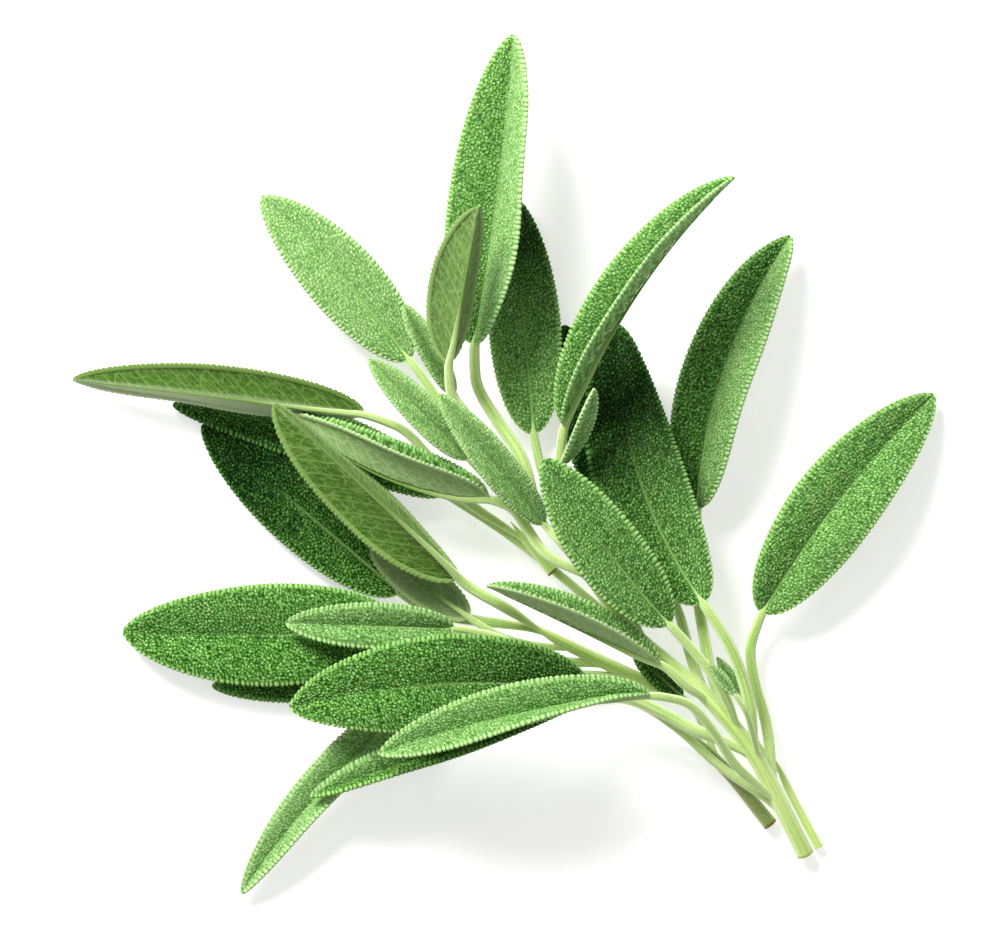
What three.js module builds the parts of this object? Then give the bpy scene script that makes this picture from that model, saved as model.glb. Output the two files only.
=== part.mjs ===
// A cut bunch of garden sage lying on a table: a few leafy sprigs, with their leaves folded,
// turned over and crossed over each other. Millimetres, +Z up, origin at the bottom centre.
import * as THREE from "three";

// ---- Driving sizes ----
const BUNCH_WIDTH = 174; // left to right, over the leaves
const DRAWN_WIDTH = 174; // the width that the places below are given for
const LAYER_LIFT = 1; // how openly the layers lie, as a share of the heights below
const BLADE_THICKNESS = 0.5;
const RIB_DEPTH = 0.4; // how far the midrib stands out under the blade
const RIB_SHARPNESS = 4; // how fast it falls away to each side
const PETIOLE_THINNEST = 0.8; // a petiole's diameter under a leaf of almost no width
const PETIOLE_PER_WIDTH = 0.07; // and how much thicker it is for each millimetre of width
const PETIOLE_FOOT = 1.2; // its diameter at the stem, as a share of that at its blade
const PETIOLE_SWEEP = 0.38; // how gently a petiole turns at its ends, as a share of its length
const PETIOLE_LEAN = 2; // how much more along its stem than away from it a petiole leaves
const TIP_DIAMETER = 0.7; // the blunt point of every leaf
const STEM_TAPER = 0.7; // a stem's diameter at its tip, as a share of its cut end
const JOINT_GAP = 0.35; // clear space between a petiole's end and its stem

// ---- Resolution ----
const SECTION_SIDES = 8;
const PETIOLE_STEPS = 4;
const BLADE_STEPS = 8;
const STEM_STEPS = 14;

// The blade is widest where WIDEST says, round at its base and drawn out to its tip.
const BASE_ROUND = 0.5;
const TIP_ROUND = 0.8;
const WIDEST = BASE_ROUND / (BASE_ROUND + TIP_ROUND);

const UP = new THREE.Vector3(0, 0, 1);

// ---- Stems: points from the cut end to the growing tip, and the diameter at the cut ----
const STEMS = {
  stem_main: { cut: 3.4, points: [[61, -79, 1.8], [55.5, -68, 5], [50, -58, 8], [39, -45, 11], [27, -35, 13],
    [15, -20, 13], [6, -10, 12], [-3, 2, 11], [-9, 11, 11]] },
  stem_thin: { cut: 1.8, points: [[63.8, -77.6, 1.1], [58, -66.5, 1.1], [52, -54, 2.5]] },
  stem_low: { cut: 2.8, points: [[54, -73, 1.4], [45, -62, 3], [36, -54, 4.5], [27, -50, 5.5]] },
  stem_short: { cut: 2.2, points: [[10, -22, 6], [5, -16, 6], [0, -10, 6]] },
  stem_left: { cut: 2.8, points: [[31.5, -45.5, 2.5], [20, -40, 4], [10, -35, 5], [-3, -27, 7]] },
};

// ---- Leaves ----
// on and along: the stem it grows from, and how far up it, as a share.
// base and tip: the ends of the blade. width: across the blade laid flat.
// bow: how far the midrib swings to the left of a straight line. arch: how far it rises above one.
// fold: how steeply each half slopes up from the midrib. roll: the blade's turn about its midrib,
// left edge up, with 180 showing its underside. twist: the extra roll reached at the tip.
// tipFold: the fold reached at the tip, where it differs.
const LEAVES = {
  leaf_top_tall: { on: "stem_main", along: 0.8, base: [-6, 24, 12], tip: [2, 86, 14], width: 20,
    bow: -1, arch: 3, fold: 30, roll: -30 },
  leaf_upper_left: { on: "stem_main", along: 0.93, base: [-19, 21, 6], tip: [-49, 54, 2], width: 15,
    bow: -1, arch: 2, fold: 8, roll: 0 },
  leaf_top_reversed: { on: "stem_main", along: 0.86, base: [-11, 20, 22], tip: [-5, 51, 28], width: 15,
    bow: 0, arch: 2, fold: 45, roll: 205 },
  leaf_centre_shaded: { on: "stem_main", along: 0.66, base: [6, 6, 4], tip: [2, 54, 2], width: 15,
    bow: 0, arch: 2, fold: 6, roll: 0 },
  leaf_arched_right: { on: "stem_main", along: 0.52, base: [12, 8, 14], tip: [46, 57, 21], width: 16,
    bow: 3, arch: 6, fold: 55, roll: -55 },
  leaf_upper_right: { on: "stem_main", along: 0.33, base: [39, -9, 5], tip: [58, 46, 4], width: 17,
    bow: 4, arch: 2, fold: 26, roll: -20 },
  leaf_far_right: { on: "stem_main", along: 0.17, base: [52, -30, 5], tip: [87, 14, 2], width: 18,
    bow: 2, arch: 4, fold: 14, roll: 0 },
  leaf_large_dark: { on: "stem_main", along: 0.24, base: [40, -28, 13], tip: [23, 28, 9], width: 19,
    bow: 5, arch: 1, fold: 8, roll: 0 },
  leaf_hidden_dark: { on: "stem_main", along: 0.38, base: [34, -27, 7], tip: [12, 28, 4], width: 16,
    bow: 1, arch: 0, fold: 6, roll: 0 },
  leaf_upright_small: { on: "stem_main", along: 0.62, base: [12, 0, 15], tip: [18, 15, 23], width: 8,
    bow: 0, arch: 1, fold: 20, roll: 65 },
  leaf_front_middle: { on: "stem_main", along: 0.3, base: [33, -32, 18], tip: [8, 1, 19], width: 15,
    bow: 1, arch: 2, fold: 15, roll: 0 },
  leaf_lower_edge: { on: "stem_main", along: 0.38, base: [31, -40, 16], tip: [-3.5, -24.5, 15], width: 12,
    bow: 0, arch: 2, fold: 60, roll: 62 },
  young_left: { on: "stem_main", along: 0.84, base: [-7, 1, 13.8], tip: [-27, 21, 12], width: 8,
    bow: 0, arch: 2, fold: 30, roll: 0 },
  young_upright: { on: "stem_main", along: 0.98, base: [-10, 14, 13.5], tip: [-20, 32, 15], width: 8,
    bow: 0, arch: 1, fold: 55, roll: 0 },
  young_centre: { on: "stem_main", along: 0.7, base: [8, -12, 15.5], tip: [-13, 14, 20], width: 9,
    bow: 0, arch: 2, fold: 35, roll: 0 },
  leaf_long_left: { on: "stem_short", along: 0.95, base: [-28, 10, 8], tip: [-87, 17, 4], width: 13,
    bow: 0, arch: 5, fold: 40, roll: 150 },
  leaf_under_long: { on: "stem_main", along: 0.44, base: [-12, -6, 3], tip: [-67, 12, 1], width: 12,
    bow: -3, arch: 0, fold: 6, roll: 0 },
  leaf_shaded_left: { on: "stem_left", along: 0.8, base: [-21, -26, 2.5], tip: [-61, 8, 1], width: 16,
    bow: 0, arch: 0, fold: 5, roll: 0 },
  leaf_folded_left: { on: "stem_left", along: 0.92, base: [-9, -23, 12], tip: [-46, 12, 18], width: 18,
    bow: 0, arch: 3, fold: 50, roll: 205 },
  leaf_rolled: { on: "stem_main", along: 0.68, base: [-3, -7, 13], tip: [-43, 10, 8], width: 16,
    bow: 4, arch: 2, fold: 72, roll: 67 },
  leaf_small_reversed: { on: "stem_left", along: 0.62, base: [-7, -31, 6], tip: [-27, -17, 5], width: 9,
    bow: 0, arch: 0, fold: 10, roll: 180 },
  leaf_broad_left: { on: "stem_left", along: 0.42, base: [-21, -33, 4], tip: [-77, -34, 3], width: 21,
    bow: 1, arch: 2, fold: 8, roll: 0 },
  leaf_on_broad: { on: "stem_left", along: 0.25, base: [-10, -33, 10], tip: [-44, -32, 9], width: 10,
    bow: 0, arch: 2, fold: 20, roll: 0 },
  leaf_beneath_broad: { on: "stem_left", along: 0.26, base: [-20, -42, 1.1], tip: [-59, -45, 1], width: 10,
    bow: 0, arch: 0, fold: 0, roll: 0 },
  leaf_broad_front: { on: "stem_main", along: 0.24, base: [17, -45, 15], tip: [-43, -49, 9], width: 20,
    bow: -3, arch: 7, fold: 8, roll: 0 },
  leaf_arched_front: { on: "stem_main", along: 0.14, base: [29, -46, 22], tip: [-25, -58, 19], width: 13,
    bow: -2, arch: 4, fold: 60, tipFold: 20, roll: 45, twist: -30 },
  leaf_below_arch: { on: "stem_main", along: 0.11, base: [14, -48, 11], tip: [-39, -67, 8], width: 11,
    bow: 0, arch: 2, fold: 40, roll: 30 },
  leaf_bottom_long: { on: "stem_left", along: 0.04, base: [-16, -46, 5.2], tip: [-53, -87, 2], width: 11,
    bow: -2, arch: 0.5, fold: 35, roll: 20 },
  leaf_at_fork: { on: "stem_low", along: 0.6, base: [36, -47, 5], tip: [26, -38, 6], width: 5,
    bow: 0, arch: 0, fold: 10, roll: 0 },
  bud_leaf_left: { on: "stem_main", along: 0.22, base: [46, -46, 17], tip: [41, -40, 18], width: 3,
    bow: 0, arch: 0, fold: 30, roll: 0 },
  bud_leaf_right: { on: "stem_thin", along: 1, base: [48, -46.5, 3], tip: [43, -39, 5], width: 3,
    bow: 0, arch: 0, fold: 30, roll: 0 },
};

const FINISHES = {
  leaf: new THREE.MeshStandardMaterial({ color: 0x6f8a4a, roughness: 0.8, metalness: 0 }),
  young: new THREE.MeshStandardMaterial({ color: 0x9aa878, roughness: 0.85, metalness: 0 }),
  stem: new THREE.MeshStandardMaterial({ color: 0xb4bd84, roughness: 0.75, metalness: 0 }),
};

// A place from the tables above, spread to the bunch's width and lifted to its layers.
function place([x, y, z]) {
  const spread = BUNCH_WIDTH / DRAWN_WIDTH;
  return new THREE.Vector3(x * spread, y * spread, z * LAYER_LIFT);
}

// The directions across a curve: side lies level to its left, up stands square to both.
function across(tangent, roll) {
  const side = new THREE.Vector3().crossVectors(UP, tangent).normalize();
  const up = new THREE.Vector3().crossVectors(tangent, side).normalize();
  side.applyAxisAngle(tangent, roll);
  up.applyAxisAngle(tangent, roll);
  return { side, up };
}

// A closed body: a cylinder whose rings are moved to the sections that sectionAt(row) gives.
// A section is a function of an angle, in radians, or of null for its middle.
function loft(rows, sectionAt) {
  const body = new THREE.CylinderGeometry(1, 1, 1, SECTION_SIDES, rows);
  const sections = Array.from({ length: rows + 1 }, (_, row) => sectionAt(row));
  const spots = body.attributes.position;
  for (let i = 0; i < spots.count; i++) {
    const row = Math.round((spots.getY(i) + 0.5) * rows);
    const inMiddle = Math.hypot(spots.getX(i), spots.getZ(i)) < 0.5;
    const angle = inMiddle ? null : Math.atan2(spots.getX(i), spots.getZ(i));
    const moved = sections[row](angle);
    spots.setXYZ(i, moved.x, moved.y, moved.z);
  }
  body.deleteAttribute("uv");
  body.computeVertexNormals();
  return body;
}

function roundSection(centre, tangent, radius, roll = 0) {
  const { side, up } = across(tangent, roll);
  return (angle) => {
    const spot = centre.clone();
    if (angle === null) return spot;
    return spot.addScaledVector(side, radius * Math.cos(angle)).addScaledVector(up, radius * Math.sin(angle));
  };
}

// ---- Stems ----
function stemCurve(name) {
  return new THREE.CatmullRomCurve3(STEMS[name].points.map(place), false, "centripetal");
}

function stemRadius(name, share) {
  return (STEMS[name].cut / 2) * THREE.MathUtils.lerp(1, STEM_TAPER, share);
}

function stemBody(name) {
  const curve = stemCurve(name);
  return loft(STEM_STEPS, (row) => {
    const share = row / STEM_STEPS;
    return roundSection(curve.getPointAt(share), curve.getTangentAt(share), stemRadius(name, share));
  });
}

// ---- Leaves ----
// Half the blade's width at a share of its length, as a share of its greatest half width.
function bladeOutline(share) {
  const low = (share / WIDEST) ** BASE_ROUND;
  const high = ((1 - share) / (1 - WIDEST)) ** TIP_ROUND;
  return low * high;
}

function bladeCurve(leaf) {
  const base = place(leaf.base);
  const tip = place(leaf.tip);
  const along = tip.clone().sub(base).normalize();
  const side = new THREE.Vector3().crossVectors(UP, along).normalize();
  const middle = base.clone().add(tip).multiplyScalar(0.5);
  middle.addScaledVector(side, 2 * leaf.bow).addScaledVector(UP, 2 * leaf.arch);
  return new THREE.QuadraticBezierCurve3(base, middle, tip);
}

function petioleRadius(leaf, share) {
  const diameter = PETIOLE_THINNEST + PETIOLE_PER_WIDTH * leaf.width;
  return (diameter / 2) * THREE.MathUtils.lerp(PETIOLE_FOOT, 1, share);
}

// The petiole leaves its stem on the side nearest the blade, a joint gap clear of it.
function petioleCurve(leaf, blade) {
  const stem = stemCurve(leaf.on);
  const node = stem.getPointAt(leaf.along);
  const growing = stem.getTangentAt(leaf.along);
  const base = blade.getPoint(0);
  const outward = base.clone().sub(node);
  outward.addScaledVector(growing, -outward.dot(growing)).normalize();
  const clear = stemRadius(leaf.on, leaf.along) + petioleRadius(leaf, 0) + JOINT_GAP;
  const start = node.clone().addScaledVector(outward, clear);
  const reach = start.distanceTo(base) * PETIOLE_SWEEP;
  const leaving = growing.clone().multiplyScalar(PETIOLE_LEAN).add(outward).normalize();
  return new THREE.CubicBezierCurve3(
    start,
    start.clone().addScaledVector(leaving, reach),
    base.clone().addScaledVector(blade.getTangent(0), -reach),
    base,
  );
}

// The side of the midrib that a place lies on: 1 to the left, -1 to the right and 0 on it.
function sideOf(value) {
  return Math.abs(value) < 0.01 ? 0 : Math.sign(value);
}

// How far a leaf has rolled round its midrib at a share of its blade, in radians.
function rollAt(leaf, share) {
  return THREE.MathUtils.degToRad(leaf.roll + (leaf.twist ?? 0) * share);
}

// A folded blade: two flat halves that meet at the midrib, which stands out beneath them.
function bladeSection(leaf, blade, share) {
  const centre = blade.getPoint(share);
  const fold = THREE.MathUtils.degToRad(THREE.MathUtils.lerp(leaf.fold, leaf.tipFold ?? leaf.fold, share));
  const { side, up } = across(blade.getTangent(share), rollAt(leaf, share));
  const half = (bladeOutline(share) * leaf.width) / 2;
  return (angle) => {
    const spot = centre.clone();
    if (angle === null) return spot;
    const outward = Math.cos(angle) * Math.abs(Math.cos(angle));
    const face = sideOf(Math.sin(angle));
    const rib = face < 0 ? RIB_DEPTH * (1 - Math.abs(outward)) ** RIB_SHARPNESS : 0;
    const normal = up.clone().multiplyScalar(Math.cos(fold));
    normal.addScaledVector(side, -sideOf(outward) * Math.sin(fold)).normalize();
    spot.addScaledVector(side, half * outward * Math.cos(fold));
    spot.addScaledVector(up, half * Math.abs(outward) * Math.sin(fold));
    return spot.addScaledVector(normal, face * (BLADE_THICKNESS / 2 + rib));
  };
}

// The petiole is rolled like the blade's base, so the skin runs from one to the other untwisted.
function leafBody(leaf) {
  const blade = bladeCurve(leaf);
  const petiole = petioleCurve(leaf, blade);
  return loft(PETIOLE_STEPS + BLADE_STEPS, (row) => {
    if (row <= PETIOLE_STEPS) {
      const share = row / PETIOLE_STEPS;
      const centre = petiole.getPoint(share);
      return roundSection(centre, petiole.getTangent(share), petioleRadius(leaf, share), rollAt(leaf, 0));
    }
    if (row === PETIOLE_STEPS + BLADE_STEPS) {
      return roundSection(blade.getPoint(1), blade.getTangent(1), TIP_DIAMETER / 2, rollAt(leaf, 1));
    }
    return bladeSection(leaf, blade, (row - PETIOLE_STEPS) / BLADE_STEPS);
  });
}

// ---- The bunch ----
const bunch = new THREE.Group();
const laid = new THREE.Group();
bunch.add(laid);
for (const name of Object.keys(STEMS)) {
  const mesh = new THREE.Mesh(stemBody(name), FINISHES.stem);
  mesh.name = name;
  laid.add(mesh);
}
for (const [name, leaf] of Object.entries(LEAVES)) {
  const finish = /^(young|bud)/.test(name) ? FINISHES.young : FINISHES.leaf;
  const mesh = new THREE.Mesh(leafBody(leaf), finish);
  mesh.name = name;
  laid.add(mesh);
}

// The origin stands at the middle of the box around everything, on the surface it lies on.
const box = new THREE.Box3().setFromObject(laid, true);
const middle = box.getCenter(new THREE.Vector3());
laid.position.set(-middle.x, -middle.y, -box.min.z);

export default bunch;
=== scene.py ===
# %% [markdown]
# # A bunch of sage
# Sage leaves are thick, soft and grey-green. Their upper face is pebbled all over, like fine
# leather, and their edge is a row of small round teeth. Underneath they are olive, with a raised
# net of veins. This lesson rebuilds a cut bunch, leaf by leaf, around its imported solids.

# %% Load the frame
import math
from itertools import takewhile

import bpy
import numpy as np
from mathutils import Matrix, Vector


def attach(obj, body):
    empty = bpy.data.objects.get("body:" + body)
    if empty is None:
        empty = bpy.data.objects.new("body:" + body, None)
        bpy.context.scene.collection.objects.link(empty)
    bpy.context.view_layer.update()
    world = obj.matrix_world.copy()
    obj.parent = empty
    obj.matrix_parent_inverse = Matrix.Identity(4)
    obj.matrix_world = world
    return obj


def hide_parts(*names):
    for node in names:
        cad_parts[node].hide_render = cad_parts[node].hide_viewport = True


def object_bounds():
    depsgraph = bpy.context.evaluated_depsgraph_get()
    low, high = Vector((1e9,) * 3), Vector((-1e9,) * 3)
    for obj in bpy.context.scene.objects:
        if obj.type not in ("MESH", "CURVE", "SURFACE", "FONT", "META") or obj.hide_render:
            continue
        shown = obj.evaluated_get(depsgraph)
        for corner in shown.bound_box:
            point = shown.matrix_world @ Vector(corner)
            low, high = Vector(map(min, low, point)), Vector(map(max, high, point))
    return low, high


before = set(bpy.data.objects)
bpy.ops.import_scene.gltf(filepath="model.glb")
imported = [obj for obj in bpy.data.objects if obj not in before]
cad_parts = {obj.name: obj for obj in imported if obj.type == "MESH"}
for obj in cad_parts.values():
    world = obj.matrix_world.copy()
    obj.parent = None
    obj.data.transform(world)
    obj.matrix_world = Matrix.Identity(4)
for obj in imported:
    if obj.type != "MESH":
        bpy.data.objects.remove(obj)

cad_low, cad_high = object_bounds()
MM = 0.001
middle = (cad_low + cad_high) / 2
size = cad_high - cad_low
print("bunch", [round(side / MM, 1) for side in size], "mm")

# %% [markdown]
# ## Reading a leaf's sections
# Every solid is a loft: rings of eight corners, from the cut end of the petiole to the tip. The
# looks could be modelled by eye beside it, but then they would drift from the solid. Instead the
# rings are read back from the mesh, so each fine leaf lies exactly where its solid does.

# %% Walk a mesh ring by ring
RING_CORNERS = 8
HALF_RING = RING_CORNERS // 2
MERGE_DECIMALS = 7
ROUND_WITHIN = 0.05


def neighbours(mesh):
    """A mesh's distinct corners, and which corners each one is joined to."""
    corners = np.array([vertex.co for vertex in mesh.vertices])
    places, merged = np.unique(corners.round(MERGE_DECIMALS), axis=0, return_inverse=True)
    merged = merged.reshape(-1)
    near = [set() for _ in places]
    for edge in mesh.edges:
        a, b = merged[list(edge.vertices)]
        if a != b:
            near[a].add(int(b))
            near[b].add(int(a))
    return places, near


def round_cap(places, near):
    """The middle corner of the largest round end: the cut end of a petiole or a stem. It is
    joined to a whole ring, whose corners are each joined to two others of the ring."""
    best, best_radius = None, 0
    for corner, around in enumerate(near):
        if len(around) != RING_CORNERS:
            continue
        if any(len(near[other] & around) != 2 for other in around):
            continue
        ring = places[list(around)]
        spokes = np.linalg.norm(ring - places[corner], axis=1)
        if np.ptp(spokes) < ROUND_WITHIN * spokes.mean() and spokes.mean() > best_radius:
            best, best_radius = corner, spokes.mean()
    return best


def in_order(ring, near):
    """A ring's corners in the order in which they are joined."""
    walk = [min(ring)]
    while len(walk) < len(ring):
        walk.append(min((near[walk[-1]] & ring) - set(walk)))
    return walk


def rings_of(name):
    """A node's rings, each an array of corners in order, and the middle of its far end."""
    places, near = neighbours(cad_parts[name].data)
    seen = {round_cap(places, near)}
    level = set(seen)
    rings = []
    while level:
        level = set().union(*(near[corner] for corner in level)) - seen
        seen |= level
        if len(level) >= RING_CORNERS - 1:
            rings.append(places[in_order(level, near)])
        elif level:
            far_end = places[min(level)]
    return rings, far_end


def is_round(ring):
    """Whether a ring is a petiole's or a stem's, and not a blade's."""
    spokes = np.linalg.norm(ring - ring.mean(0), axis=1)
    return np.ptp(spokes) < ROUND_WITHIN * spokes.mean()


rings, far_end = rings_of("leaf_top_tall")
print("leaf_top_tall:", len(rings), "rings,", sum(map(is_round, rings)), "of them round")

# %% [markdown]
# ## From rings to a blade
# A blade's ring has two sharp corners, its left and right edges. Halfway between an edge and the
# midrib lie two more pairs of corners, and they tell where the midrib runs. The corner that
# stands further out from it is the rib beneath, which tells the upper face from the under face.

# %% Find the midrib, both edges and the upper side of a ring
def corner_angle(ring, i):
    """The angle at a corner of a ring, small at a sharp corner."""
    before = ring[i - 1] - ring[i]
    after = ring[(i + 1) % len(ring)] - ring[i]
    cosine = before @ after / (np.linalg.norm(before) * np.linalg.norm(after))
    return math.acos(max(-1.0, min(1.0, cosine)))


def section_of(ring):
    """Midrib point, both half-blade vectors and the upward direction of a ring. Once it is
    rolled, its corners 0 and 4 are the two edges, and 2 and 6 the middles of the two faces."""
    sharp = [corner_angle(ring, i) + corner_angle(ring, i + HALF_RING) for i in range(HALF_RING)]
    ring = np.roll(ring, -int(np.argmin(sharp)), axis=0)
    first_mid = (ring[1] + ring[7]) / 2
    second_mid = (ring[3] + ring[5]) / 2
    midrib = (2 * first_mid - ring[0] + 2 * second_mid - ring[4]) / 2
    top, bottom = ring[2], ring[6]
    if np.linalg.norm(top - midrib) > np.linalg.norm(bottom - midrib):
        top = bottom
    up = (top - midrib) / np.linalg.norm(top - midrib)
    return midrib, ring[0] - midrib, ring[4] - midrib, up


def unit(vectors):
    return vectors / np.linalg.norm(vectors, axis=-1, keepdims=True)


def smooth_through(points, where):
    """A smooth curve through evenly spaced points, read at shares of its length."""
    points = np.asarray(points)
    ends = np.vstack([2 * points[0] - points[1], points, 2 * points[-1] - points[-2]])
    spot = np.clip(where, 0, 1) * (len(points) - 1)
    i = np.minimum(spot.astype(int), len(points) - 2)
    t = (spot - i)[:, None]
    a, b, c, d = ends[i], ends[i + 1], ends[i + 2], ends[i + 3]
    return b + 0.5 * t * (c - a + t * (2 * a - 5 * b + 4 * c - d + t * (3 * (b - c) + d - a)))


_, left, right, _ = section_of(rings[len(rings) // 2])
spans = [round(float(np.linalg.norm(half)) / MM, 1) for half in (left, right)]
print("leaf_top_tall's halves, by its middle ring:", spans, "mm")


# %% What is read of a leaf
class Leaf:
    """A leaf's midrib, half-blade directions and petiole, read from its solid."""

    def __init__(self, name):
        rings, tip = rings_of(name)
        stalk = list(takewhile(is_round, rings))
        blade = [section_of(ring) for ring in rings[len(stalk) : -1]]
        self.name = name
        self.stalk = [ring.mean(0) for ring in stalk]
        self.stalk_radii = [np.linalg.norm(ring - ring.mean(0), axis=1).mean() for ring in stalk]
        self.midrib = [self.stalk[-1], *(section[0] for section in blade), tip]
        self.ups = unit(np.array([section[3] for section in blade]))
        along = np.gradient(np.array(self.midrib), axis=0)[1:-1]
        lefts, rights = [], []
        for (_, one, other, up), ahead in zip(blade, along):
            if np.cross(up, ahead) @ one < 0:
                one, other = other, one
            lefts.append(one)
            rights.append(other)
        self.half_width = np.linalg.norm(lefts, axis=1).max()
        self.lefts = unit(np.array(lefts))
        self.rights = unit(np.array(rights))
        steps = np.diff(np.array(self.midrib), axis=0)
        self.length = np.linalg.norm(steps, axis=1).sum()

    def at(self, share):
        """Midrib points and left and right directions at shares of the blade's length."""
        middles = smooth_through(self.midrib, share)
        inner = (share * (len(self.midrib) - 1) - 1) / (len(self.lefts) - 1)
        lefts = unit(smooth_through(self.lefts, inner))
        rights = unit(smooth_through(self.rights, inner))
        return middles, lefts, rights


# %% What is read of a stem
STEM_ROWS = 160
STEM_SHOWN = 0.86


class Stem:
    """A stem's centre line and radius, closely spaced from its cut end almost to the end of its
    solid, which is blunt and would stick out between the young petioles."""

    def __init__(self, name):
        rings, _ = rings_of(name)
        share = np.linspace(0, STEM_SHOWN, STEM_ROWS)
        radii = [np.linalg.norm(ring - ring.mean(0), axis=1).mean() for ring in rings]
        self.name = name
        self.route = smooth_through([ring.mean(0) for ring in rings], share)
        self.radii = np.interp(share, np.linspace(0, 1, len(radii)), radii)
        self.step = np.linalg.norm(np.diff(self.route, axis=0), axis=1).mean()


# %% Read every leaf and stem
LEAVES = [name for name in sorted(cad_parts) if not name.startswith("stem")]
STEMS = [name for name in sorted(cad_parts) if name.startswith("stem")]
leaves = {name: Leaf(name) for name in LEAVES}
stems = {name: Stem(name) for name in STEMS}
for leaf in list(leaves.values())[:3]:
    length, width = round(leaf.length / MM, 1), round(2 * leaf.half_width / MM, 1)
    print(leaf.name, "is", length, "mm long and", width, "mm wide")

# %% [markdown]
# ## Pebbles and nets
# The upper face is a mosaic of little domes with grooves between them. A texture could fake them,
# but the edge of a leaf would stay smooth, so they are real relief. Jittered cells make them: each
# point finds its nearest and second nearest cell middle. Near the nearest it is a dome's top, and
# where the two are equally far it is a groove. Underneath, the same cells make a raised net.

# %% Cells on a plane
ALONG_TURN, ACROSS_TURN, SEED_TURN = 127.1, 311.7, 74.7
SCATTER_GAIN = 43758.5453
OWN_DRAW, ACROSS_DRAW = 2, 5
FAR_AWAY = 9.0
PEBBLE_JITTER = 0.95
NET_JITTER = 0.9


def scatter(i, j, seed):
    """A steady random number from 0 to 1 for each cell."""
    value = np.sin(i * ALONG_TURN + j * ACROSS_TURN + seed * SEED_TURN) * SCATTER_GAIN
    return value - np.floor(value)


def cells(along, across, pitch, seed, jitter):
    """Distance to the nearest cell middle, how much further the second nearest is, and a random
    number that belongs to the nearest cell."""
    a, b = along / pitch, across / pitch
    nearest = np.full(a.shape, FAR_AWAY)
    second = np.full(a.shape, FAR_AWAY)
    own = np.zeros(a.shape)
    for step_a in (-1, 0, 1):
        for step_b in (-1, 0, 1):
            i, j = np.floor(a) + step_a, np.floor(b) + step_b
            middle_a = i + 0.5 + jitter * (scatter(i, j, seed) - 0.5)
            middle_b = j + 0.5 + jitter * (scatter(i, j, seed + ACROSS_DRAW) - 0.5)
            apart = np.hypot(a - middle_a, b - middle_b)
            second = np.minimum(second, np.maximum(nearest, apart))
            own = np.where(apart < nearest, scatter(i, j, seed + OWN_DRAW), own)
            nearest = np.minimum(nearest, apart)
    return nearest, second - nearest, own


def ease(low, high, value):
    """0 below low, 1 above high, and a smooth step between them."""
    t = np.clip((value - low) / (high - low), 0, 1)
    return t * t * (3 - 2 * t)


spots = np.arange(0, 9, 0.1)
sample = cells(*np.meshgrid(spots, spots), pitch=1.0, seed=1, jitter=PEBBLE_JITTER)
print("grooves cover", round(float((sample[1] < 0.1).mean()), 2), "of the face")

# %% [markdown]
# ## The shape of a blade
# Each blade is a grid, fine enough for its pebbles, laid over the two halves that meet at the
# midrib. The outline is a formula: round at the base, drawn out to a blunt tip, with teeth along
# both margins. The grid makes an upper and an under sheet, joined round the rim.

# %% The outline and its teeth
BASE_ROUND = 0.5
TIP_ROUND = 0.62
WIDEST = BASE_ROUND / (BASE_ROUND + TIP_ROUND)
TOOTH_PITCH = 0.98 * MM
TOOTH_DEPTH = 0.42 * MM
QUICK_UNEVEN, QUICK_RATE = 0.16, 1.7
SLOW_UNEVEN, SLOW_RATE = 0.1, 0.6
SIDE_SHIFT = 0.31
TOOTH_BLUNTNESS = 0.75
RIM_INNER = 0.75 * MM
RIM_OUTER = 1.35 * MM


def outline(share):
    """Half the blade's width at shares of its length, as a share of half its full width."""
    low = (np.clip(share, 0, 1) / WIDEST) ** BASE_ROUND
    high = ((1 - np.clip(share, 0, 1)) / (1 - WIDEST)) ** TIP_ROUND
    return low * high


def teeth(distance, side, pitch, seed):
    """Round teeth: 1 on top of a tooth, 0 in the notch between two. No two are quite alike."""
    count = distance / pitch
    uneven = QUICK_UNEVEN * np.sin(count * QUICK_RATE + seed)
    uneven = uneven + SLOW_UNEVEN * np.sin(count * SLOW_RATE + 2 * seed)
    wave = np.abs(np.sin(math.pi * (count + uneven + SIDE_SHIFT * side)))
    return wave**TOOTH_BLUNTNESS


print("a blade is widest", round(WIDEST, 2), "of the way up")


# %% Pebbles of the upper face
PEBBLE_PITCH = 0.66 * MM
PEBBLE_HEIGHT = 0.27 * MM
PEBBLE_SLANT = 0.25
GRAIN_PITCH = 0.4 * MM
GRAIN_DRAW = 9
DOME_REACH = 0.7
DOME_SHARE, FLANK_SHARE = 0.55, 0.45
FLANK_RUN = 0.6
PEBBLE_GROOVE, GRAIN_GROOVE = 0.3, 0.25
LEAST_PEBBLE, PEBBLE_SPREAD = 0.6, 0.5
LEAST_GRAIN, GRAIN_SPREAD = 0.4, 0.9
PEBBLE_PART, GRAIN_PART, GROOVE_FLOOR = 0.78, 0.6, 0.06


def upper_relief(along, across, seed, fineness):
    """Pebbles of uneven size with a finer grain between them, from 0 in the grooves to 1."""
    slanted = along - PEBBLE_SLANT * np.abs(across)
    nearest, gap, own = cells(slanted, across, PEBBLE_PITCH * fineness, seed, PEBBLE_JITTER)
    dome = DOME_SHARE * np.clip(1 - nearest / DOME_REACH, 0, 1)
    dome = dome + FLANK_SHARE * ease(0, FLANK_RUN, gap)
    pebble = dome * ease(0, PEBBLE_GROOVE, gap) * (LEAST_PEBBLE + PEBBLE_SPREAD * own)
    pitch = GRAIN_PITCH * fineness
    nearest, gap, own = cells(slanted, across, pitch, seed + GRAIN_DRAW, PEBBLE_JITTER)
    grain = np.clip(1 - nearest / DOME_REACH, 0, 1) * ease(0, GRAIN_GROOVE, gap)
    grain = grain * (LEAST_GRAIN + GRAIN_SPREAD * own)
    return np.clip(PEBBLE_PART * pebble + GRAIN_PART * grain - GROOVE_FLOOR, 0, 1)


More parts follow.
